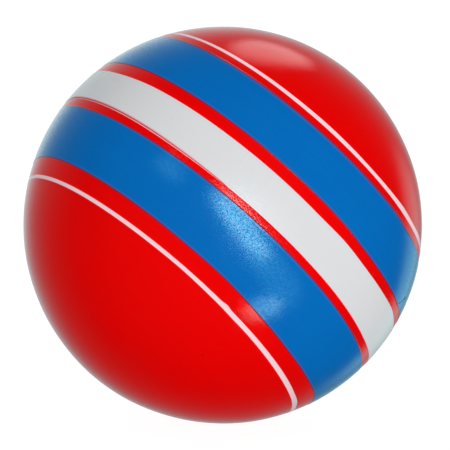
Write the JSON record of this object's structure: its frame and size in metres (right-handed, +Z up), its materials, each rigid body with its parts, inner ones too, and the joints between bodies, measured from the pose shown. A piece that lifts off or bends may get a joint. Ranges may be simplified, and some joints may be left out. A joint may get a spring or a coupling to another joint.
{
  "type": "juggling ball",
  "caption": "Hollow lacquered rubber juggling ball, red, with a white band between blue bands and fine white pinlines, cemented from moulded halves.",
  "frame": {"origin": "centre of the ball", "axes": "+Z up as the ball lies; the stripes' axis lies in the XZ plane and leans 45 degrees from +Z towards +X, so the north cap with the needle mark faces up and to +X"},
  "size_m": [0.0749, 0.0752, 0.0749],
  "materials": {
    "red_enamel": "lacquered gloss enamel, fine orange peel",
    "blue_enamel": "lacquered gloss enamel, brushed on the turning ball",
    "white_enamel": "lacquered gloss enamel, brushed on the turning ball",
    "moulded_rubber": "matt moulded rubber",
    "rubber_cement": "dried rubber cement",
    "raw_rubber": "soft uncured rubber"
  },
  "bodies": {
    "root": {"half_shell_south": "moulded_rubber", "half_shell_north": "moulded_rubber", "seam_cement": "rubber_cement", "sealing_pellet": "raw_rubber", "needle_seal": "rubber_cement", "base_enamel": "red_enamel", "pinline_south": "white_enamel", "blue_band_south": "blue_enamel", "white_band": "white_enamel", "blue_band_north": "blue_enamel", "pinline_north": "white_enamel"}
  },
  "joints": []
}
